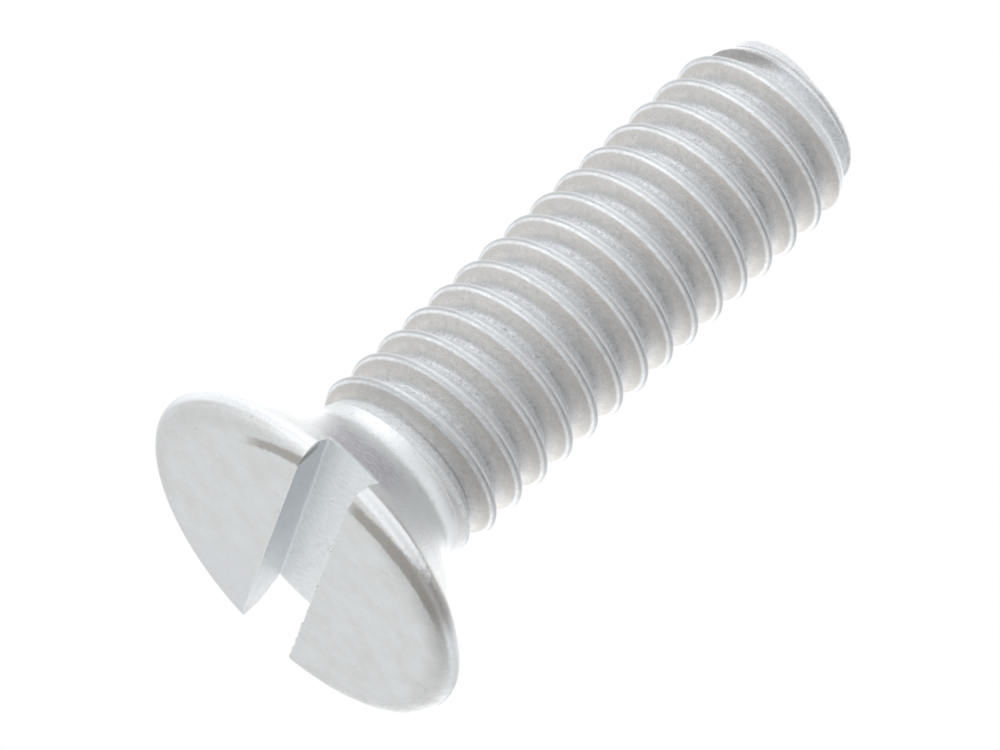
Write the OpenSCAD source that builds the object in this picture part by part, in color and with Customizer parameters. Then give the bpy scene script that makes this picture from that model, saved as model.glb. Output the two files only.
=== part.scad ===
// Slotted countersunk machine screw, M4 by 14, threaded up to a short plain neck.
// It stands on the flat face of its head: the origin is the centre of that face,
// Z runs along the screw to its tip, and the driver slot runs along X.

/* [Overall] */
// Length from the face of the head to the tip
length = 13.65; // [12:0.05:16]

/* [Head] */
// Widest diameter of the head
head_d = 7.32; // [6.8:0.05:8]
// Full angle of the countersunk cone
cone_angle = 95; // [88:1:102]
// How far the rounded rim reaches in from the widest diameter
rim_w = 0.56; // [0.2:0.01:0.8]
// Height of the rounded rim
rim_h = 0.3; // [0.15:0.01:0.4]
// Width of the driver slot
slot_w = 1.2; // [0.9:0.01:1.3]
// Depth of the driver slot in the middle of the head
slot_depth = 0.9; // [0.7:0.05:1.2]
// How far the slot was cut off the middle of the head
slot_shift = 0.04; // [-0.1:0.01:0.1]
// How much the floor of the slot slopes along X, in degrees
slot_tilt = 1.5; // [-3:0.1:3]

/* [Neck] */
// Diameter of the plain neck, which is that of the blank the thread is rolled on
neck_d = 3.5; // [3.4:0.01:3.6]
// Radius of the fillet between the cone and the neck
fillet_r = 0.7; // [0.3:0.05:1.2]
// Length of the plain neck past the fillet
neck_len = 0.02; // [0.02:0.01:0.4]

/* [Thread] */
// Outside diameter of the thread
thread_d = 3.87; // [3.82:0.01:4]
// Distance from one turn of the thread to the next
pitch = 0.7; // [0.6:0.01:0.8]
// Radial depth of the thread groove
thread_depth = 0.36; // [0.3:0.01:0.42]
// Width of the crest, between its rounded edges
crest_w = 0.1; // [0.06:0.01:0.16]
// Width of the root, between its rounded edges
root_w = 0.21; // [0.12:0.01:0.24]
// Length over which the thread rises from the neck to its full form
runout_len = 0.55; // [0.2:0.05:1]
// Turn of the thread about Z, in degrees
thread_turn = 168; // [0:1:360]

/* [Tip] */
// Length over which the thread tapers off to the end
tip_len = 0.82; // [0.6:0.02:1.6]
// Diameter where the taper meets the short stub at the end
stub_d = 3.34; // [3.3:0.01:3.6]
// Length of the stub
stub_len = 0.2; // [0.1:0.01:0.4]
// Diameter of the end
tip_d = 3.18; // [3:0.01:3.3]
// Height of the burr that stands up on one side of the end
burr_height = 0.13; // [0.02:0.01:0.2]
// Direction of the burr about Z, in degrees
burr_turn = 130; // [0:1:360]

/* [Hidden] */

// The head: its elliptic rim turns from the face round to the slope of the cone
half_angle = cone_angle / 2;
rim_end = atan(tan(half_angle) * rim_h / rim_w);
rim_turn = 90 + rim_end;
face_r = head_d / 2 - rim_w;
neck_r = neck_d / 2;
cone_top_z = rim_h + rim_h * sin(rim_end);
cone_top_r = face_r + rim_w * cos(rim_end);
// Where the cone would meet the neck if there were no fillet
corner_z = cone_top_z + (cone_top_r - neck_r) / tan(half_angle);
fillet_reach = fillet_r * tan(half_angle / 2);
neck_start_z = corner_z + fillet_reach;
neck_end_z = neck_start_z + neck_len;
arc_steps = 16;
round_fn = 96;

// The thread: lines of points that climb along the helix, joined to a closed surface
thread_r = thread_d / 2;
turn_steps = 48;
// The thread begins inside the neck and is this much thinner there
neck_cover = 0.03;
thread_start_z = neck_end_z - pitch;
// No line of points ends nearer than this to the flat ends of the thread
end_gap = pitch * 0.03;
// The crest rises and the root sinks by these shares of the depth between their edges
crest_bulge = 0.06;
root_hollow = 0.17;
crest_half = crest_w / pitch / 2;
root_half = root_w / pitch / 2;
// One pitch of the thread's section, from the middle of a root to the middle of the next:
// how far along the pitch each point lies, and how deep in the groove
SECTION = [
    [0, 1],
    [root_half, 1 - root_hollow],
    [0.5 - crest_half, crest_bulge],
    [0.5, 0],
    [0.5 + crest_half, crest_bulge],
    [1 - root_half, 1 - root_hollow]
];
section_count = len(SECTION);

// The burr: a thin raised edge that dies away to both sides
tip_r = tip_d / 2;
burr_w = 0.12;
burr_spread = 60;
function burr_z(column) =
    let (away = cos(360 * column / turn_steps - burr_turn) - cos(burr_spread))
    length + burr_height * max(0, away) / (1 - cos(burr_spread));

// Lowest and highest line of points that has a point in a column
function column_shift(column) = column / turn_steps + thread_turn / 360;
function line_z(line, column) =
    pitch * (floor(line / section_count)
        + SECTION[line - section_count * floor(line / section_count)][0]
        + column_shift(column));
function first_line(column, line = 0) =
    line_z(line, column) > thread_start_z + end_gap
        ? line : first_line(column, line + 1);
function last_line(column, line) =
    line_z(line, column) < length - end_gap
        ? line : last_line(column, line - 1);

// How deep in the groove a height lies, from 0 on the crest to 1 in the root
function groove_share(z, column) =
    let (along = z / pitch - column_shift(column))
    lookup(along - floor(along), concat(SECTION, [[1, 1]]));
// The taper and the stub limit the radius near the end
function tip_limit(z) =
    lookup(z, [[length - tip_len, thread_r], [length - stub_len, stub_d / 2], [length, tip_r]]);
function runout_share(z) = max(0, min(1, (z - neck_end_z) / runout_len));
function thread_radius(z, column) =
    let (blank_r = neck_r - neck_cover)
    let (full_r = thread_r - thread_depth * groove_share(z, column))
    min(blank_r + (full_r - blank_r) * runout_share(z), tip_limit(z));

// The columns of points round the thread, from the first to the one that closes the turn
top_guess = ceil((length / pitch + 1) * section_count);
own_firsts = [for (column = [0:turn_steps - 1]) first_line(column)];
own_lasts = [for (column = [0:turn_steps - 1]) last_line(column, top_guess)];
// The closing column is the first one again, where each line has climbed by one turn
firsts = concat(own_firsts, own_firsts[0] - section_count);
lasts = concat(own_lasts, own_lasts[0] - section_count);
// Each column has its lines' points, one on the low end, one on the burr and one inside it
starts = [
    for (column = 0, total = 0;
         column < turn_steps;
         total = total + lasts[column] - firsts[column] + 4, column = column + 1)
    total
];

function ring_point(z, column) =
    let (turn = 360 * column / turn_steps)
    let (radius = thread_radius(z, column))
    [radius * cos(turn), radius * sin(turn), z];
function inner_point(column) =
    let (turn = 360 * column / turn_steps)
    [(tip_r - burr_w) * cos(turn), (tip_r - burr_w) * sin(turn), length];
function line_index(line, column) =
    column == turn_steps
        ? line_index(line + section_count, 0)
        : starts[column] + 1 + line - firsts[column];
function low_index(column) = starts[column % turn_steps];
function high_index(column) =
    let (own = column % turn_steps)
    starts[own] + 2 + lasts[own] - firsts[own];
function inner_index(column) = high_index(column) + 1;

// The strip of surface between two neighbouring columns
function strip_faces(column) =
    let (next = column + 1)
    let (low = firsts[column])
    let (next_low = firsts[next])
    let (high = lasts[column])
    let (next_high = lasts[next])
    concat(
        [
            [low_index(column), line_index(low, column), low_index(next)],
            [low_index(next), line_index(low, column), line_index(next_low, next)],
            [line_index(high, column), high_index(column), high_index(next)],
            [line_index(high, column), high_index(next), line_index(next_high, next)],
            [inner_index(column), inner_index(next), high_index(next)],
            [inner_index(column), high_index(next), high_index(column)]
        ],
        next_low < low
            ? [[line_index(next_low, next), line_index(low, column), line_index(low, next)]]
            : [],
        next_high < high
            ? [[line_index(next_high, column), line_index(high, column), line_index(next_high, next)]]
            : [],
        [
            for (line = [low:next_high - 1])
            each [
                [line_index(line, column), line_index(line + 1, column), line_index(line + 1, next)],
                [line_index(line, column), line_index(line + 1, next), line_index(line, next)]
            ]
        ]
    );

module thread() {
    points = [
        for (column = [0:turn_steps - 1])
        each concat(
            [ring_point(thread_start_z, column)],
            [for (line = [firsts[column]:lasts[column]]) ring_point(line_z(line, column), column)],
            [ring_point(burr_z(column), column), inner_point(column)]
        )
    ];
    sides = [for (column = [0:turn_steps - 1]) each strip_faces(column)];
    low_end = [for (column = [0:turn_steps - 1]) low_index(column)];
    high_end = [for (column = [turn_steps - 1:-1:0]) inner_index(column)];
    polyhedron(points = points, faces = concat(sides, [low_end, high_end]), convexity = 10);
}

// The head, its rounded rim, the countersunk cone, the fillet and the plain neck in one turning
module turned_head() {
    rim = [
        for (step = [0:arc_steps])
        let (angle = -90 + rim_turn * step / arc_steps)
        [face_r + rim_w * cos(angle), rim_h + rim_h * sin(angle)]
    ];
    fillet = [
        for (step = [0:arc_steps])
        let (angle = half_angle * (1 - step / arc_steps))
        [neck_r + fillet_r - fillet_r * cos(angle), neck_start_z - fillet_r * sin(angle)]
    ];
    rotate_extrude($fn = round_fn)
        polygon(concat([[0, 0]], rim, fillet, [[neck_r, neck_end_z], [0, neck_end_z]]));
}

// The slot for the driver runs right across the head
module driver_slot() {
    translate([0, slot_shift, 0])
        rotate([0, -slot_tilt, 0])
            cube([2 * head_d, slot_w, 2 * slot_depth], center = true);
}

module screw() {
    color([0.8, 0.81, 0.8])
        difference() {
            union() {
                turned_head();
                thread();
            }
            driver_slot();
        }
}

screw();
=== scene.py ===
"""A slotted countersunk machine screw, standing on the flat face of its head."""
import math

import bpy
from mathutils import Matrix, Vector


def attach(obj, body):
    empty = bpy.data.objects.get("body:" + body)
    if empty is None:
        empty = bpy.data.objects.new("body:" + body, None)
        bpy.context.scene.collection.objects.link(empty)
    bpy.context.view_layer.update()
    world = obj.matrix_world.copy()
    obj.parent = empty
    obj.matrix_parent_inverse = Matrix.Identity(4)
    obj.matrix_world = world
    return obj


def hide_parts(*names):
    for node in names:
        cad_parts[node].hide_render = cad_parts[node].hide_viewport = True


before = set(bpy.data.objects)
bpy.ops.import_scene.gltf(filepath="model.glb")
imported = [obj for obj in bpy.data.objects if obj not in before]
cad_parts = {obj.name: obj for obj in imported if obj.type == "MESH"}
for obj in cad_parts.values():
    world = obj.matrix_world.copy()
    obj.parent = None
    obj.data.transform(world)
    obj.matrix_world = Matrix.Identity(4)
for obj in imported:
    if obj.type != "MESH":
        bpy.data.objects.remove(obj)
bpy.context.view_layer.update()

MM = 0.001

# Sizes of the screw, the same as those of its solid, in millimetres
LENGTH = 13.65
HEAD_D = 7.32
CONE_ANGLE = 95
RIM_W = 0.56
RIM_H = 0.3
SLOT_W = 1.2
SLOT_DEPTH = 0.9
SLOT_SHIFT = 0.04
SLOT_TILT = 1.5
NECK_D = 3.5
FILLET_R = 0.7
NECK_LEN = 0.02
THREAD_D = 3.87
PITCH = 0.7
THREAD_DEPTH = 0.36
CREST_W = 0.1
ROOT_W = 0.21
# The crest rises and the root sinks by these shares of the depth between their edges
CREST_BULGE = 0.06
ROOT_HOLLOW = 0.17
# The root is an arc: how far it sweeps to either side, in radians, and the sine of that
ROOT_SWEEP = 1.05
ROOT_SWEEP_SINE = 0.867
RUNOUT_LEN = 0.55
THREAD_TURN = 168
TIP_D = 3.18
STUB_D = 3.34
STUB_LEN = 0.2
TIP_LEN = 0.82
TIP_BURR = 0.13
BURR_TURN = 130

# Places that follow from them
NECK_R = NECK_D / 2
THREAD_R = THREAD_D / 2
ROOT_R = THREAD_R - THREAD_DEPTH
TIP_R = TIP_D / 2
STUB_R = STUB_D / 2
HALF_ANGLE = math.radians(CONE_ANGLE / 2)
FACE_R = HEAD_D / 2 - RIM_W
# Where the rounded rim, a quarter of an ellipse and a little more, runs into the cone
RIM_END = math.atan(math.tan(HALF_ANGLE) * RIM_H / RIM_W)
CONE_TOP_Z = RIM_H + RIM_H * math.sin(RIM_END)
CONE_TOP_R = FACE_R + RIM_W * math.cos(RIM_END)
CORNER_Z = CONE_TOP_Z + (CONE_TOP_R - NECK_R) / math.tan(HALF_ANGLE)
NECK_START_Z = CORNER_Z + FILLET_R * math.tan(HALF_ANGLE / 2)
NECK_END_Z = NECK_START_Z + NECK_LEN
FULL_THREAD_Z = NECK_END_Z + RUNOUT_LEN

# The burr on the edge of the tip: how thick it is and how far round it reaches to either side
BURR_W = 0.12
BURR_SPREAD = 60

# The groove that sets off the rolled lip round the tip
LIP_GROOVE_DEPTH = 0.08

# Wear: the chips torn out of one wall of the slot, and how wide the worn corners of the head are
CHIP_SIZE = 0.16
CHIP_DEPTH = 0.11
WORN_CORNER = 0.3
ROUNDED_EDGE = 0.03

# The shank starts inside the head, above the floor of the slot
SHANK_START_Z = 1.2
# How far hidden surfaces stay clear of the ones that show
CLEAR = 0.02

# How finely the forms are divided
TURN_STEPS = 144
HEAD_STEPS = 192
RIM_STEPS = 20
FILLET_STEPS = 16
FACE_RINGS = 6
SLOT_STEPS = 110
WALL_STEPS = 12


# Modelling helpers

def deselect():
    if bpy.context.object and bpy.context.object.mode != "OBJECT":
        bpy.ops.object.mode_set(mode="OBJECT")
    bpy.ops.object.select_all(action="DESELECT")


def pick(piece):
    """Makes one object the selected and active one."""
    deselect()
    piece.select_set(True)
    bpy.context.view_layer.objects.active = piece


def drawn_line(name, points):
    """A line of edges through points, given as radius and height."""
    deselect()
    bpy.ops.mesh.primitive_plane_add(size=1)
    line = bpy.context.object
    line.name = name
    bpy.ops.object.mode_set(mode="EDIT")
    bpy.ops.mesh.select_all(action="SELECT")
    bpy.ops.mesh.merge(type="CENTER")
    radius, height = points[0]
    bpy.ops.transform.translate(value=(radius, 0, height))
    for (r0, z0), (r1, z1) in zip(points, points[1:]):
        step = (r1 - r0, 0, z1 - z0)
        bpy.ops.mesh.extrude_vertices_move(TRANSFORM_OT_translate={"value": step})
    bpy.ops.object.mode_set(mode="OBJECT")
    return line


def apply_modifier(piece, kind, **settings):
    pick(piece)
    modifier = piece.modifiers.new(kind.title(), kind)
    for key, value in settings.items():
        setattr(modifier, key, value)
    bpy.ops.object.modifier_apply(modifier=modifier.name)


def close_up(piece, merge=0.0005):
    """Merges points that meet and turns the faces outwards."""
    pick(piece)
    bpy.ops.object.mode_set(mode="EDIT")
    bpy.ops.mesh.select_all(action="SELECT")
    bpy.ops.mesh.remove_doubles(threshold=merge)
    bpy.ops.mesh.normals_make_consistent(inside=False)
    bpy.ops.object.mode_set(mode="OBJECT")


def turned(name, points, steps=HEAD_STEPS):
    """A closed turned form from its outline, which starts and ends on the axis."""
    form = drawn_line(name, points)
    apply_modifier(form, "SCREW", axis="Z", angle=math.tau, steps=steps, render_steps=steps,
                   screw_offset=0, use_merge_vertices=True, merge_threshold=0.0001)
    close_up(form)
    return form


def combine(piece, tool, operation):
    """Joins, cuts or trims a piece with a tool, which is then removed."""
    apply_modifier(piece, "BOOLEAN", object=tool, operation=operation, solver="MANIFOLD")
    bpy.data.objects.remove(tool)


def arc(centre_r, centre_z, radius, start, end, steps):
    """Points along an arc, with angles in radians from straight outwards."""
    angles = [start + (end - start) * step / steps for step in range(steps + 1)]
    return [(centre_r + radius * math.cos(a), centre_z + radius * math.sin(a)) for a in angles]


# The shank

def thread_section():
    """One pitch of the thread, from the middle of a root to the middle of the next."""
    bulge = CREST_BULGE * THREAD_DEPTH
    hollow = ROOT_HOLLOW * THREAD_DEPTH
    root, crest = ROOT_W / 2, CREST_W / 2
    section = []
    for share in (0, 0.25, 0.5, 0.75, 1):
        turn = share * ROOT_SWEEP
        rise = hollow * (1 - math.cos(turn)) * 2
        section.append((ROOT_R + rise, root * math.sin(turn) / ROOT_SWEEP_SINE))
    flank_r = THREAD_R - bulge - (ROOT_R + hollow)
    flank_z = PITCH / 2 - crest - root
    for share in (0.07, 0.2, 0.4, 0.6, 0.8, 0.93):
        section.append((ROOT_R + hollow + flank_r * share, root + flank_z * share))
    section += [(THREAD_R - bulge, PITCH / 2 - crest),
                (THREAD_R - 0.3 * bulge, PITCH / 2 - 0.55 * crest), (THREAD_R, PITCH / 2)]
    return section + [(r, PITCH - z) for r, z in reversed(section[:-1])]


def helix():
    """The endless thread, cut square below the neck and above the tip."""
    turns = math.ceil(LENGTH / PITCH) + 1
    # The section's first point lies on the turn that the solid's thread has
    start_z = (THREAD_TURN / 360 - 1) * PITCH
    shank = drawn_line("shank", [(r, z + start_z) for r, z in thread_section()])
    apply_modifier(shank, "SCREW", axis="Z", angle=math.tau, steps=TURN_STEPS, render_steps=TURN_STEPS,
                   screw_offset=PITCH, iterations=turns)
    close_up(shank)
    pick(shank)
    bpy.ops.object.mode_set(mode="EDIT")
    for cut_z, low_side in ((SHANK_START_Z, True), (LENGTH + TIP_BURR, False)):
        bpy.ops.mesh.select_all(action="SELECT")
        bpy.ops.mesh.bisect(plane_co=(0, 0, cut_z), plane_no=(0, 0, 1), use_fill=True,
                            clear_inner=low_side, clear_outer=not low_side)
    bpy.ops.object.mode_set(mode="OBJECT")
    close_up(shank)
    return shank


def thread_limit():
    """What the crests stay inside: they rise from the neck and taper to the stub of the tip."""
    outline = [(0, 1), (NECK_R - CLEAR, 1), (NECK_R - CLEAR, NECK_END_Z),
               (THREAD_R + CLEAR, FULL_THREAD_Z), (THREAD_R + CLEAR, LENGTH - TIP_LEN),
               (STUB_R, LENGTH - STUB_LEN)]
    # A narrow groove sets off the rolled lip round the end
    groove_r = STUB_R - LIP_GROOVE_DEPTH
    outline += [(STUB_R - 0.03, LENGTH - 0.13), (groove_r, LENGTH - 0.1),
                (groove_r + 0.005, LENGTH - 0.07), (TIP_R + 0.015, LENGTH - 0.045),
                (TIP_R + 0.01, LENGTH - 0.015)]
    outline += [(TIP_R, LENGTH), (TIP_R, LENGTH + TIP_BURR), (TIP_R - BURR_W, LENGTH), (0, LENGTH)]
    return turned("thread_limit", outline)


def burr_trim():
    """What is missing of the raised edge of the tip, which stands up on one side only."""
    reach = TIP_R * (1 - math.cos(math.radians(BURR_SPREAD)))
    slope = math.atan2(TIP_BURR, reach)
    deselect()
    bpy.ops.mesh.primitive_cube_add(size=1)
    trim = bpy.context.object
    trim.name = "burr_trim"
    bpy.ops.object.mode_set(mode="EDIT")
    bpy.ops.transform.translate(value=(-0.5, 0, 0.5))
    bpy.ops.object.mode_set(mode="OBJECT")
    size = Matrix.Diagonal((2 * THREAD_D, 2 * THREAD_D, 1, 1))
    side = Matrix.Rotation(math.radians(BURR_TURN), 4, "Z")
    top = Matrix.Translation((TIP_R, 0, LENGTH + TIP_BURR))
    trim.matrix_world = side @ top @ Matrix.Rotation(-slope, 4, "Y") @ size
    bpy.ops.object.transform_apply(location=True, rotation=True, scale=True)
    bpy.ops.mesh.primitive_cube_add(size=2 * THREAD_D, location=(0, 0, LENGTH + THREAD_D))
    combine(trim, bpy.context.object, "INTERSECT")
    return trim


def blank():
    """The head, the cone, the fillet and the neck, which sinks into the root of the thread."""
    rim = [(FACE_R + RIM_W * r, RIM_H + RIM_H * z)
           for r, z in arc(0, 0, 1, -math.pi / 2, RIM_END, RIM_STEPS)]
    fillet = arc(NECK_R + FILLET_R, NECK_START_Z, FILLET_R, math.pi + HALF_ANGLE, math.pi, FILLET_STEPS)
    face = [(FACE_R * ring / FACE_RINGS, 0) for ring in range(FACE_RINGS)]
    neck = [(NECK_R, NECK_END_Z), (ROOT_R - CLEAR, FULL_THREAD_Z), (0, FULL_THREAD_Z)]
    outline = face + rim + fillet + neck
    return turned("blank", outline)


def driver_slot():
    """The sloping slot, with one wall torn along its edge."""
    deselect()
    bpy.ops.mesh.primitive_grid_add(x_subdivisions=SLOT_STEPS, y_subdivisions=2, size=1)
    slot = bpy.context.object
    slot.name = "driver_slot"
    bpy.ops.object.mode_set(mode="EDIT")
    bpy.ops.mesh.select_all(action="SELECT")
    for _ in range(WALL_STEPS):
        bpy.ops.mesh.extrude_region_move(TRANSFORM_OT_translate={"value": (0, 0, 1 / WALL_STEPS)})
    bpy.ops.object.mode_set(mode="OBJECT")
    slot.matrix_world = (Matrix.Translation((0, SLOT_SHIFT, 0))
                         @ Matrix.Rotation(-math.radians(SLOT_TILT), 4, "Y")
                         @ Matrix.Diagonal((1.1 * HEAD_D, SLOT_W, 2 * SLOT_DEPTH, 1))
                         @ Matrix.Translation((0, 0, -0.5)))
    bpy.ops.object.transform_apply(location=True, rotation=True, scale=True)
    close_up(slot)
    torn = slot.vertex_groups.new(name="torn_wall")
    low_wall = [v.index for v in slot.data.vertices if v.co.y < SLOT_SHIFT - SLOT_W / 2 + CLEAR / 2]
    torn.add(low_wall, 1, "REPLACE")
    chips = bpy.data.textures.new("chips", "CLOUDS")
    chips.noise_scale = CHIP_SIZE
    chips.noise_depth = 2
    apply_modifier(slot, "DISPLACE", texture=chips, direction="Y", strength=CHIP_DEPTH, mid_level=0.5,
                   vertex_group="torn_wall", texture_coords="GLOBAL")
    return slot


def blunt_corner(y):
    """What is worn off the corner of one half of the head, where the slot runs out."""
    deselect()
    bpy.ops.mesh.primitive_cube_add(size=WORN_CORNER, location=(HEAD_D / 2 + CLEAR, y, RIM_H + 0.1),
                                    rotation=(0, 0, math.radians(45)))
    corner = bpy.context.object
    # Tall enough to pass right through the rim
    corner.scale = (1, 1, 5)
    bpy.ops.object.transform_apply(location=True, rotation=True, scale=True)
    return corner


def make_screw():
    screw = helix()
    screw.name = "machine_screw"
    screw.data.name = "machine_screw"
    combine(screw, thread_limit(), "INTERSECT")
    combine(screw, burr_trim(), "DIFFERENCE")
    head = blank()
    combine(head, driver_slot(), "DIFFERENCE")
    for wall_y in (SLOT_SHIFT - SLOT_W / 2, SLOT_SHIFT + SLOT_W / 2):
        combine(head, blunt_corner(wall_y), "DIFFERENCE")
    apply_modifier(head, "BEVEL", width=ROUNDED_EDGE, segments=3, limit_method="ANGLE",
                   angle_limit=math.radians(40))
    combine(screw, head, "UNION")
    close_up(screw, 0.0002)
    screw.scale = (MM, MM, MM)
    pick(screw)
    bpy.ops.object.transform_apply(location=True, rotation=True, scale=True)
    bpy.ops.object.shade_smooth_by_angle(angle=math.radians(35))
    return screw


screw = make_screw()


# The finish: the colours of the metal where it is cool, warm, freshly cut, stained or dirty, and the
# painted shade and painted highlights laid on it

COOL_METAL = (0.675, 0.705, 0.715, 1)
WARM_METAL = (0.625, 0.635, 0.625, 1)
FLANK_METAL = (0.72, 0.705, 0.685, 1)
# The flanks' darker mottle, which is also their painted shade below the crest, and their painted light
# at the foot
FLANK_MOTTLE_AND_PAINTED_SHADE = (0.61, 0.595, 0.575, 1)
FLANK_PAINTED_LIGHT = (0.80, 0.785, 0.765, 1)
CREST_METAL = (0.66, 0.68, 0.70, 1)
ROOT_METAL = (0.70, 0.72, 0.75, 1)
# Painted highlights and glints, and the painted light of the far flanks and the tip
PAINTED_HIGHLIGHT_METAL = (0.90, 0.93, 0.96, 1)
SLOT_METAL = (0.78, 0.81, 0.83, 1)
PATCH_METAL = (0.47, 0.455, 0.50, 1)
# Stains and dirt, and also the painted shade under the lip and in the rim's crease and band
STAIN_AND_PAINTED_SHADE = (0.34, 0.32, 0.30, 1)
DIRT = (0.16, 0.14, 0.13, 1)
WHITE = (1, 1, 1, 1)

# Where the finish changes along one turn of the thread, from 0 in a root to 0.5 on the crest.
# Four values are a band: it fades in between the first two and out between the last two.
# A painted highlight along the crest
CREST_PAINTED_HIGHLIGHT = (0.36, 0.4, 0.405, 0.44)
# Painted shade on the flank below the crest, and painted light at its foot
FLANK_TOP_PAINTED_SHADE = (0.22, 0.32, 0.355, 0.375)
FLANK_FOOT_PAINTED_LIGHT = (0.26, 0.12)
CREST_TOP_START = (0.39, 0.43)
CREST_TOP_END = (0.59, 0.56)
PAST_CREST = (0.53, 0.58)
ROUGH_ROOT = (0.2, 0.0)
GROOVE_SIDE = (0.42, 0.3)

# How much a ragged edge wanders, the share of it that a clean edge has, and how much the rim's marks do
RAGGED = 0.4
CLEAN_SHARE = 0.12
WAVY_RIM = 0.12

# Noises: scale, detail and roughness
CLOUDS = (1.3, 5.0, 0.65)
MOTTLE = (8.0, 4.0, 0.65)
GRAIN = (22.0, 3.0, 0.7)
FLAKES = (15.0, 5.0, 0.8)
STAINS = (3.1, 4.0, 0.62)
BREAKS = (3.5, 3.0, 0.6)
SPECK_SWARMS = (1.3, 2.0, 0.6)
SPECK_SCALE = 1.7
SPECK_STRETCH = 9.0

# Bands in millimetres: below the end of the tip, up from the face, and outwards from the axis
TIP_SPARKLE = (0.55, 0.35)
# Painted shade under the lip of the tip
UNDER_LIP_PAINTED_SHADE = (0.04, 0.07, 0.12, 0.16)
TIP_GROOVE = (0.12, 0.2, 0.5, 0.75)
NECK_PAINTED_HIGHLIGHT = (NECK_START_Z - 0.45, NECK_START_Z - 0.25, NECK_END_Z + 0.15, NECK_END_Z + 0.3)
CONE_PATCH = (0.65, 1.0, 1.55, 1.95)
# A painted shade in the rim's crease and a painted dark reflection in a band beside it
CREASE_R = (3.28, 3.4, 3.56, 3.66)
CREASE_ACROSS = (0.3, 0.5, 1.4, 1.9)
DARK_REFLECTION_R = (3.1, 3.17, 3.34, 3.42)
# A slightly darker band round the rim
DARKER_RIM_R = (3.0, 3.4, 3.45, 3.6)
DARKER_RIM_Z = (0.25, 0.15)
# A painted highlight on the rim's edge near the slot's end
RIM_HIGHLIGHT_R = (HEAD_D / 2 - 0.09, HEAD_D / 2 - 0.03)
RIM_HIGHLIGHT_Z = (0.75, 0.6)
RIM_HIGHLIGHT_X = (0.0, -2.0)
THREAD_START = (NECK_END_Z - 0.05, NECK_END_Z + 0.1)
THREAD_TOP_R = (THREAD_R - 0.14, THREAD_R - 0.1)
BURR_SIDE = (0.7, 1.3)
# From the middle of the slot to its sides, and up from its sloping floor
SLOT_SIDE = (SLOT_W / 2 + 0.015, SLOT_W / 2 + 0.005)
# Where the painted highlight lies, along the corner of wall and floor
SLOT_CORNER = (SLOT_W / 2 - 0.05, SLOT_W / 2 - 0.02)
OVER_FLOOR = (0.12, 0.01)
FLOOR_CORNER = (-0.06, -0.03)
# Along the slot towards its end that shows, and across it
PATCH_X = (-1.2, -1.8)
PATCH_MIDDLE_Y = 0.1
PATCH_SIDE = (1.3, 0.4)
SLOT_END_X = (-1.4, -2.3)
SLOT_END_Z = (0.6, 0.4)
DARK_REFLECTION_ACROSS = (-0.5, -0.8)
# How much further out the crease's painted shade and the brown band's painted dark reflection lie for
# each millimetre across the slot
CREASE_SLANT = 0.25
DARK_REFLECTION_SLANT = 0.12


class Recipe:
    """Adds shader nodes to one tree and links them."""

    def __init__(self, tree):
        self.tree = tree

    def node(self, kind, inputs=None, **settings):
        made = self.tree.nodes.new("ShaderNode" + kind)
        for key, value in settings.items():
            setattr(made, key, value)
        for key, value in (inputs or {}).items():
            self.feed(made.inputs[key], value)
        return made

    def feed(self, socket, value):
        """Links another node's result to a socket, or sets the socket's own value."""
        if isinstance(value, bpy.types.NodeSocket):
            self.tree.links.new(value, socket)
        else:
            socket.default_value = value

    def reckon(self, operation, first, second=0.0):
        return self.node("Math", {0: first, 1: second}, operation=operation).outputs[0]

    def plus(self, first, *others):
        for other in others:
            first = self.reckon("ADD", first, other)
        return first

    def times(self, first, *others):
        for other in others:
            first = self.reckon("MULTIPLY", first, other)
        return first

    def most(self, first, *others):
        for other in others:
            first = self.reckon("MAXIMUM", first, other)
        return first

    def fade(self, value, start, end):
        """Goes from 0 at start to 1 at end, and stays there."""
        ends = {"Value": value, "From Min": start, "From Max": end}
        return self.node("MapRange", ends, interpolation_type="SMOOTHSTEP").outputs["Result"]

    def band(self, value, edges):
        """Goes from 0 to 1 between the first two edges and back to 0 between the last two."""
        start, full, still_full, end = edges
        return self.times(self.fade(value, start, full), self.fade(value, end, still_full))

    def blend(self, share, first, second):
        """Mixes two colours."""
        mixed = self.node("Mix", {"Factor": share}, data_type="RGBA")
        self.feed(mixed.inputs[6], first)
        self.feed(mixed.inputs[7], second)
        return mixed.outputs[2]


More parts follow.
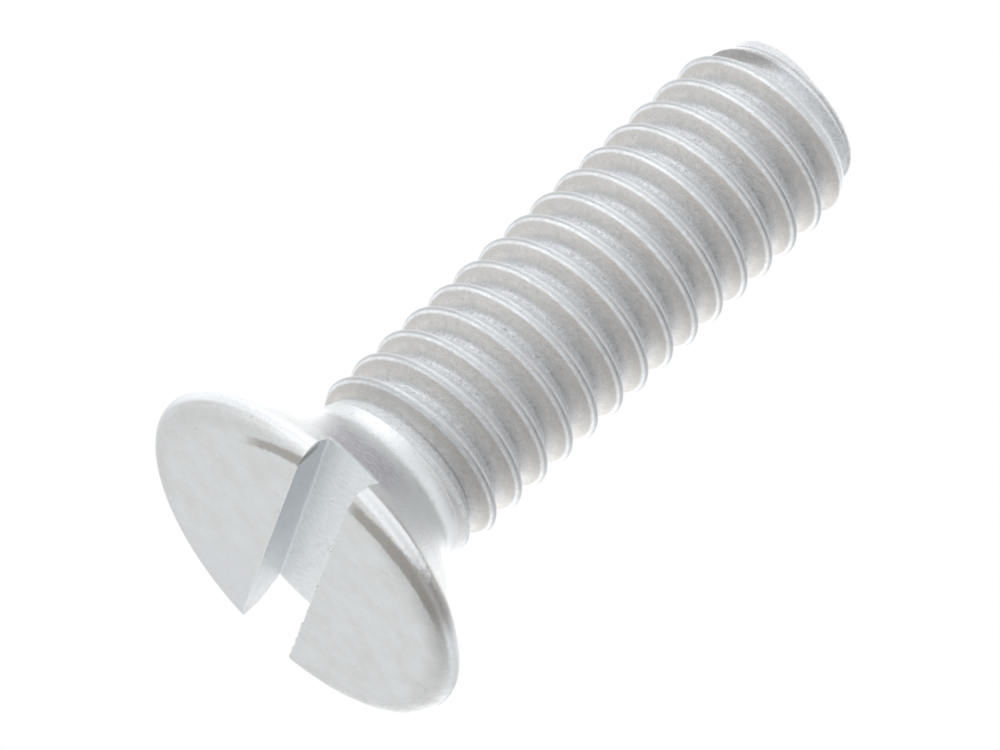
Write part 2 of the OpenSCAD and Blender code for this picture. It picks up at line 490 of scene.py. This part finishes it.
class Plating(Recipe):
    """The zones of the screw's finish, each a value from 0 to 1, and what they do to the metal."""

    def __init__(self, tree):
        super().__init__(tree)
        self.measure()
        self.tip_zones()
        self.thread_zones()
        self.slot_zones()
        self.cone_zones()
        self.rim_zones()
        self.flecks()

    def noise(self, scale, detail, roughness):
        inputs = {"Vector": self.place, "Scale": scale, "Detail": detail, "Roughness": roughness}
        return self.node("TexNoise", inputs).outputs["Fac"]

    def measure(self):
        """Where a point lies, in millimetres, and the unevenness that all zones share."""
        place = self.node("TexCoord").outputs["Object"]
        self.place = self.node("VectorMath", {0: place, "Scale": 1 / MM}, operation="SCALE").outputs[0]
        parts = self.node("SeparateXYZ", {0: self.place}).outputs
        self.x, self.y, self.height = parts["X"], parts["Y"], parts["Z"]
        flat = self.node("CombineXYZ", {"X": self.x, "Y": self.y}).outputs[0]
        self.radius = self.node("VectorMath", {0: flat}, operation="LENGTH").outputs["Value"]
        self.across = self.reckon("SUBTRACT", self.y, SLOT_SHIFT)
        # Slow clouds, fine mottling and grain, and the flakes of the rough places
        self.clouds = self.noise(*CLOUDS)
        self.mottle = self.noise(*MOTTLE)
        self.grain = self.noise(*GRAIN)
        self.flakes = self.noise(*FLAKES)
        self.ragged = self.times(self.reckon("SUBTRACT", self.flakes, 0.5), RAGGED)
        # Where the point lies in one turn of the thread: 0 in the middle of a root, 0.5 on the crest
        self.angle = self.reckon("ARCTAN2", self.y, self.x)
        turn = self.plus(self.reckon("DIVIDE", self.angle, math.tau), THREAD_TURN / 360)
        turns = self.reckon("SUBTRACT", self.reckon("DIVIDE", self.height, PITCH), turn)
        self.phase = self.reckon("FRACT", turns)
        self.rough_phase = self.plus(self.phase, self.ragged)
        self.thin_phase = self.plus(self.phase, self.times(self.ragged, CLEAN_SHARE))

    def tip_zones(self):
        """The sparkling end, whose paleness is partly painted light, the painted shade under its lip,
        and the dirty groove on the side of the burr.
        """
        below_end = self.reckon("SUBTRACT", LENGTH, self.height)
        self.tip = self.fade(below_end, *TIP_SPARKLE)
        self.painted_lip_shade = self.band(below_end, UNDER_LIP_PAINTED_SHADE)
        from_burr = self.reckon("SUBTRACT", self.angle, math.radians(BURR_TURN - 20))
        burr_side = self.fade(self.times(self.radius, self.reckon("COSINE", from_burr)), *BURR_SIDE)
        self.groove = self.times(burr_side, self.band(below_end, TIP_GROOVE),
                                 self.fade(self.rough_phase, *GROOVE_SIDE))

    def thread_zones(self):
        """The rough root, the two flanks with their painted shade and painted light, and the painted
        highlight line and the top of the crest.
        """
        on_thread = self.fade(self.height, *THREAD_START)
        past_crest = self.fade(self.phase, *PAST_CREST)
        rough_root = self.fade(self.rough_phase, *ROUGH_ROOT)
        full_r = self.fade(self.radius, *THREAD_TOP_R)
        self.far_flank = self.times(on_thread, past_crest)
        self.root = self.most(self.times(on_thread, self.most(past_crest, rough_root)), self.tip)
        # A painted highlight along the crest
        self.crest_painted_highlight = self.times(on_thread, full_r, self.band(self.thin_phase, CREST_PAINTED_HIGHLIGHT))
        self.crest_top = self.times(full_r, self.fade(self.thin_phase, *CREST_TOP_START),
                                    self.fade(self.phase, *CREST_TOP_END))
        other = self.most(self.root, self.crest_painted_highlight)
        self.flank = self.most(self.reckon("SUBTRACT", on_thread, other), 0.0)
        # Painted shade on the flank below the crest, and painted light at its foot
        self.flank_top_painted_shade = self.band(self.thin_phase, FLANK_TOP_PAINTED_SHADE)
        self.flank_foot_painted_light = self.fade(self.thin_phase, *FLANK_FOOT_PAINTED_LIGHT)

    def slot_zones(self):
        """The freshly cut walls and floor of the slot, and the painted highlight along the line where
        they meet.
        """
        from_middle = self.reckon("ABSOLUTE", self.across)
        slope = self.times(self.x, math.tan(math.radians(SLOT_TILT)))
        over_floor = self.reckon("SUBTRACT", self.reckon("SUBTRACT", self.height, slope), SLOT_DEPTH)
        self.slot = self.times(self.fade(from_middle, *SLOT_SIDE), self.fade(over_floor, *OVER_FLOOR))
        self.slot_corner_painted_highlight = self.times(self.fade(from_middle, *SLOT_CORNER),
                                      self.fade(over_floor, *FLOOR_CORNER))

    def cone_zones(self):
        """The painted highlight round the neck, and the darker patch of the cone behind the slot's end.
        """
        ragged_z = self.plus(self.height, self.ragged)
        # A painted highlight round the neck
        self.ring = self.band(ragged_z, NECK_PAINTED_HIGHLIGHT)
        aside = self.reckon("ABSOLUTE", self.reckon("SUBTRACT", self.y, PATCH_MIDDLE_Y))
        aside = self.plus(aside, self.reckon("SUBTRACT", self.clouds, 0.5))
        self.patch = self.times(self.band(ragged_z, CONE_PATCH), self.fade(self.x, *PATCH_X),
                                self.fade(aside, *PATCH_SIDE), self.fade(self.mottle, 0.2, 0.6))

    def rim_zones(self):
        """The darker rim, and near one end of the slot the painted shade in its crease, a brown band of
        painted dark reflection, and the painted highlight on its edge.
        """
        waves = self.times(self.reckon("SUBTRACT", self.mottle, 0.5), WAVY_RIM)
        wavy_r = self.plus(self.radius, waves)
        self.darker_rim = self.times(self.band(wavy_r, DARKER_RIM_R), self.fade(self.height, *DARKER_RIM_Z))
        near_slot_end = self.times(self.fade(self.x, *SLOT_END_X), self.fade(self.height, *SLOT_END_Z))
        # The crease's painted shade and the band's painted reflection aren't round the axis: their
        # distance from it changes across the slot
        # Painted shade in the crease and a painted dark reflection in the band
        crease_r = self.plus(wavy_r, self.times(self.across, CREASE_SLANT))
        crease = self.times(self.band(crease_r, CREASE_R), self.band(self.across, CREASE_ACROSS))
        dark_reflection_r = self.plus(wavy_r, self.times(self.across, DARK_REFLECTION_SLANT))
        painted_dark_reflection = self.times(self.band(dark_reflection_r, DARK_REFLECTION_R),
                                self.fade(self.across, *DARK_REFLECTION_ACROSS))
        self.painted_crease_shade_and_reflection = self.times(self.most(crease, painted_dark_reflection), near_slot_end)
        # A painted highlight on the rim's edge near the slot's end
        self.edge = self.times(self.fade(self.radius, *RIM_HIGHLIGHT_R), self.fade(self.height, *RIM_HIGHLIGHT_Z),
                               self.fade(self.x, *RIM_HIGHLIGHT_X))

    def flecks(self):
        """The painted glints and the dark flakes of the roots, and stains, pits and small dark specks
        all over.
        """
        # Painted glints on the flakes of the roots
        self.painted_glint_flakes = self.times(self.root, self.fade(self.flakes, 0.52, 0.58))
        self.dark_flakes = self.times(self.root, self.fade(self.flakes, 0.46, 0.38))
        self.stains = self.fade(self.noise(*STAINS), 0.66, 0.74)
        self.pits = self.fade(self.grain, 0.6, 0.72)
        # A noise stretches the pattern of the specks unevenly
        stretch = self.node("TexNoise", {"Vector": self.place, "Scale": SPECK_STRETCH}).outputs["Color"]
        uneven = self.node("VectorMath", {0: self.place, 1: stretch, 2: (0.12, 0.12, 0.12)},
                           operation="MULTIPLY_ADD").outputs[0]
        speck = self.node("TexVoronoi", {"Vector": uneven, "Scale": SPECK_SCALE}).outputs["Distance"]
        swarms = self.fade(self.noise(*SPECK_SWARMS), 0.5, 0.56)
        self.specks = self.times(self.fade(speck, 0.075, 0.045), swarms)

    def flank_colour(self):
        flank = self.blend(self.fade(self.mottle, 0.34, 0.66), FLANK_METAL, FLANK_MOTTLE_AND_PAINTED_SHADE)
        # Painted shade below the crest and painted light at the foot of the flank
        flank = self.blend(self.times(self.flank_top_painted_shade, 0.7), flank, FLANK_MOTTLE_AND_PAINTED_SHADE)
        return self.blend(self.times(self.flank_foot_painted_light, 0.6), flank, FLANK_PAINTED_LIGHT)

    def slot_colour(self):
        cut = self.blend(self.times(self.fade(self.mottle, 0.35, 0.65), 0.6), SLOT_METAL, COOL_METAL)
        # A painted highlight along the corner of wall and floor
        return self.blend(self.times(self.slot_corner_painted_highlight, 0.7), cut, PAINTED_HIGHLIGHT_METAL)

    def colour(self):
        """Each zone lies over the ones before it, as thick as its share."""
        broken = self.plus(self.times(self.fade(self.noise(*BREAKS), 0.35, 0.65), 0.5), 0.5)
        layers = [
            (self.flank, 1, self.flank_colour()),
            (self.root, 1, ROOT_METAL),
            # Painted light: the far flanks and the tip are paler, partly for their rough crystals,
            # partly for the light they catch
            (self.most(self.far_flank, self.tip), 0.7, PAINTED_HIGHLIGHT_METAL),
            (self.crest_top, 1, CREST_METAL),
            # A painted highlight along the crest
            (self.crest_painted_highlight, broken, PAINTED_HIGHLIGHT_METAL),
            (self.patch, 1, PATCH_METAL),
            (self.slot, 1, self.slot_colour()),
            # A painted highlight round the neck
            (self.ring, 0.7, PAINTED_HIGHLIGHT_METAL),
            # Painted glints on the flakes of the roots
            (self.painted_glint_flakes, 1, PAINTED_HIGHLIGHT_METAL),
            (self.dark_flakes, 0.35, STAIN_AND_PAINTED_SHADE),
            # Painted shade under the lip
            (self.painted_lip_shade, 0.3, STAIN_AND_PAINTED_SHADE),
            (self.groove, 0.7, STAIN_AND_PAINTED_SHADE),
            (self.darker_rim, 0.2, STAIN_AND_PAINTED_SHADE),
            # A painted highlight on the rim's edge
            (self.edge, 0.9, PAINTED_HIGHLIGHT_METAL),
            # Painted shade in the crease and a painted dark reflection in the band
            (self.painted_crease_shade_and_reflection, 0.85, STAIN_AND_PAINTED_SHADE),
            (self.stains, 0.3, STAIN_AND_PAINTED_SHADE),
            (self.pits, 0.35, STAIN_AND_PAINTED_SHADE),
            (self.specks, 0.6, DIRT),
        ]
        colour = self.blend(self.fade(self.clouds, 0.3, 0.75), COOL_METAL, WARM_METAL)
        for zone, share, metal in layers:
            colour = self.blend(self.times(zone, share), colour, metal)
        return colour

    def metallic(self):
        """The crystals of the rough places scatter light, which plain metal doesn't."""
        crystals = self.most(self.times(self.root, 0.06), self.times(self.far_flank, 0.25),
                             self.times(self.crest_painted_highlight, 0.1), self.times(self.edge, 0.6),
                             self.times(self.ring, 0.2), self.times(self.tip, 0.3))
        return self.reckon("SUBTRACT", 1.0, crystals)

    def roughness(self):
        rough = self.plus(self.times(self.fade(self.clouds, 0.35, 0.65), 0.06), 0.36,
                          self.times(self.flank, 0.03), self.times(self.root, 0.06))
        smooth = self.plus(self.times(self.crest_painted_highlight, 0.06), self.times(self.painted_glint_flakes, 0.16))
        return self.reckon("SUBTRACT", rough, smooth)

    def relief(self):
        """Fine grain everywhere, and flakes that stand up in the roots."""
        height = self.plus(self.times(self.grain, self.plus(self.times(self.flank, 0.3), 0.9)),
                           self.times(self.flakes, self.root, 2.4), self.times(self.mottle, 0.7))
        return self.node("Bump", {"Height": height, "Strength": 0.7, "Distance": 0.02 * MM}).outputs[0]


def plated_steel():
    """Matt plating: painted highlights on the crests, sparkling rough roots with painted glints, smooth
    warm flanks with painted shade and light, a dull mottled face.
    """
    material = bpy.data.materials.new("plated_steel")
    material.use_nodes = True
    shader = material.node_tree.nodes["Principled BSDF"]
    plating = Plating(material.node_tree)
    plating.feed(shader.inputs["Base Color"], plating.colour())
    plating.feed(shader.inputs["Metallic"], plating.metallic())
    plating.feed(shader.inputs["Roughness"], plating.roughness())
    plating.feed(shader.inputs["Normal"], plating.relief())
    return material


screw.data.materials.clear()
screw.data.materials.append(plated_steel())
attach(screw, "root")
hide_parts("screw")


# The camera stands where the photograph was taken from

VIEW_TILT = math.radians(64.15)
IMAGE_SLOPE = math.radians(42.51)
SLOT_TURN = math.radians(168.6)
CAMERA_DISTANCE = 168.5
PIXELS_PER_MM = 54.36
PICTURE_W, PICTURE_H = 1000, 750
MIDDLE_Z = 6.8
MIDDLE_X_PX, MIDDLE_Y_PX = 544.2, 335.3


def add_camera():
    """The camera, from the screw's slope in the picture and where its middle shows."""
    axis = Vector((math.sin(VIEW_TILT) * math.cos(IMAGE_SLOPE),
                   -math.sin(VIEW_TILT) * math.sin(IMAGE_SLOPE), math.cos(VIEW_TILT)))
    sight = Vector((0, 0, 1))
    near = -(sight - axis * axis.dot(sight)).normalized()
    side = axis.cross(near)
    slot_way = near * math.cos(SLOT_TURN) + side * math.sin(SLOT_TURN)
    across = axis.cross(slot_way)
    # Rows: picture right, down and away from the camera, each in the screw's own axes
    rows = Matrix((slot_way, across, axis)).transposed()
    offset = Vector(((MIDDLE_X_PX - PICTURE_W / 2) / PIXELS_PER_MM,
                     (MIDDLE_Y_PX - PICTURE_H / 2) / PIXELS_PER_MM, CAMERA_DISTANCE))
    place = -(rows.transposed() @ offset) + Vector((0, 0, MIDDLE_Z))
    right, down, away = rows[0], rows[1], rows[2]
    data = bpy.data.cameras.new("camera")
    data.sensor_width = 36
    data.lens = data.sensor_width * PIXELS_PER_MM * CAMERA_DISTANCE / PICTURE_W
    data.clip_start = 0.01
    camera = bpy.data.objects.new("camera", data)
    turn = Matrix((right, -down, -away)).transposed().to_4x4()
    camera.matrix_world = Matrix.Translation(place * MM) @ turn
    bpy.context.scene.collection.objects.link(camera)
    bpy.context.scene.camera = camera
    return camera


camera = add_camera()


# The floor, the light and the white surroundings

FLOOR_GREY = (0.68, 0.68, 0.68, 1)
FLOOR_GLOW = 0.35
FLOOR_SIZE = 400
# The share of a card that is solid, before its edge fades
CARD_CORE = 0.35
WORLD_LEVEL = 0.95


def white_world(level):
    """White to the camera and in reflections, and a softer light on everything else."""
    world = bpy.data.worlds.new("studio")
    bpy.context.scene.world = world
    world.use_nodes = True
    world.node_tree.nodes.clear()
    mix = Recipe(world.node_tree)
    rays = mix.node("LightPath").outputs
    seen = mix.most(rays["Is Camera Ray"], rays["Is Glossy Ray"], rays["Is Transmission Ray"])
    strength = mix.node("MapRange", {"Value": seen, "To Min": level, "To Max": 1.0}).outputs["Result"]
    light = mix.node("Background", {"Color": WHITE, "Strength": strength})
    mix.node("OutputWorld", {"Surface": light.outputs[0]})


def bare_material(name):
    """A material whose nodes are all still to be added."""
    material = bpy.data.materials.new(name)
    material.use_nodes = True
    material.node_tree.nodes.clear()
    return material


def add_floor():
    """A pale floor that shows from above only, since the picture is taken from below the head."""
    deselect()
    bpy.ops.mesh.primitive_plane_add(size=FLOOR_SIZE * MM, location=(0, 0, -CLEAR * MM))
    floor = bpy.context.object
    floor.name = "floor"
    bpy.ops.object.transform_apply(location=True)
    material = bare_material("floor")
    mix = Recipe(material.node_tree)
    matt = mix.node("BsdfDiffuse", {"Color": FLOOR_GREY})
    to_camera = mix.node("LightPath").outputs["Is Camera Ray"]
    glow = mix.node("Emission", {"Color": WHITE, "Strength": mix.times(to_camera, FLOOR_GLOW)})
    top = mix.node("AddShader", {0: matt.outputs[0], 1: glow.outputs[0]})
    from_below = mix.node("NewGeometry").outputs["Backfacing"]
    clear = mix.node("BsdfTransparent")
    both = mix.node("MixShader", {0: from_below, 1: top.outputs[0], 2: clear.outputs[0]})
    mix.node("OutputMaterial", {"Surface": both.outputs[0]})
    floor.data.materials.append(material)
    floor.visible_diffuse = False
    floor.visible_glossy = False
    floor.visible_transmission = False
    floor.visible_shadow = False


def way(near, side, along):
    """A direction by how far it points to the camera, to the lower right and along to the tip."""
    axis = Vector((0, 0, 1))
    to_camera = camera.matrix_world.to_3x3() @ Vector((0, 0, 1))
    towards = (to_camera - axis * axis.dot(to_camera)).normalized()
    return (towards * near + axis.cross(towards) * side + axis * along).normalized()


def facing(direction, distance):
    """A place that far from the middle of the screw, facing it."""
    aim = Vector((0, 0, MIDDLE_Z * MM))
    turn = direction.to_track_quat("Z", "Y").to_matrix().to_4x4()
    return Matrix.Translation(aim + direction * distance * MM) @ turn


def add_lamp(name, direction, distance, size, level):
    """A soft round lamp; level is how bright it looks, where 1 is white."""
    data = bpy.data.lights.new(name, "AREA")
    data.shape = "DISK"
    data.size = size * MM
    data.energy = level * math.pi * math.pi * (size * MM / 2) ** 2
    lamp = bpy.data.objects.new(name, data)
    lamp.matrix_world = facing(direction, distance)
    lamp.visible_camera = False
    bpy.context.scene.collection.objects.link(lamp)


def add_card(name, direction, distance, size, grey):
    """A round dark card with a faded edge, which only the metal's reflections show."""
    deselect()
    bpy.ops.mesh.primitive_circle_add(vertices=64, radius=size / 2 * MM, fill_type="NGON")
    card = bpy.context.object
    card.name = name
    card.matrix_world = facing(direction, distance)
    material = bare_material(name)
    mix = Recipe(material.node_tree)
    place = mix.node("TexCoord").outputs["Object"]
    middle = mix.node("VectorMath", {0: place}, operation="LENGTH").outputs["Value"]
    clear = mix.fade(middle, size / 2 * MM * CARD_CORE, size / 2 * MM)
    glow = mix.node("Emission", {"Color": (*grey, 1), "Strength": 1.0})
    gone = mix.node("BsdfTransparent")
    both = mix.node("MixShader", {0: clear, 1: glow.outputs[0], 2: gone.outputs[0]})
    mix.node("OutputMaterial", {"Surface": both.outputs[0]})
    card.data.materials.append(material)
    card.visible_camera = False
    card.visible_diffuse = False
    card.visible_shadow = False
    card.visible_transmission = False


white_world(WORLD_LEVEL)
add_floor()
add_lamp("key", way(near=0.45, side=-0.78, along=0.44), distance=120, size=80, level=1.25)
add_lamp("head_light", way(near=0.1, side=-0.62, along=-0.78), distance=120, size=100, level=1.05)
add_lamp("back_light", way(near=-0.75, side=0, along=0.65), distance=120, size=90, level=1.15)
add_card("dark_card", way(near=0.3, side=0.93, along=0), 100, 175, grey=(0.06, 0.055, 0.05))
add_card("near_card", way(near=0.93, side=0.36, along=0.1), 95, 150, grey=(0.46, 0.45, 0.44))
add_card("rim_card", way(near=-0.3, side=0.55, along=-0.78), 100, 90, grey=(0.2, 0.185, 0.165))
add_card("grey_card", way(near=0, side=-0.92, along=-0.4), 100, 130, grey=(0.3, 0.31, 0.32))
add_lamp("side_light", way(near=-0.93, side=0.37, along=0), distance=120, size=60, level=1.1)

bpy.context.scene.view_settings.view_transform = "Standard"
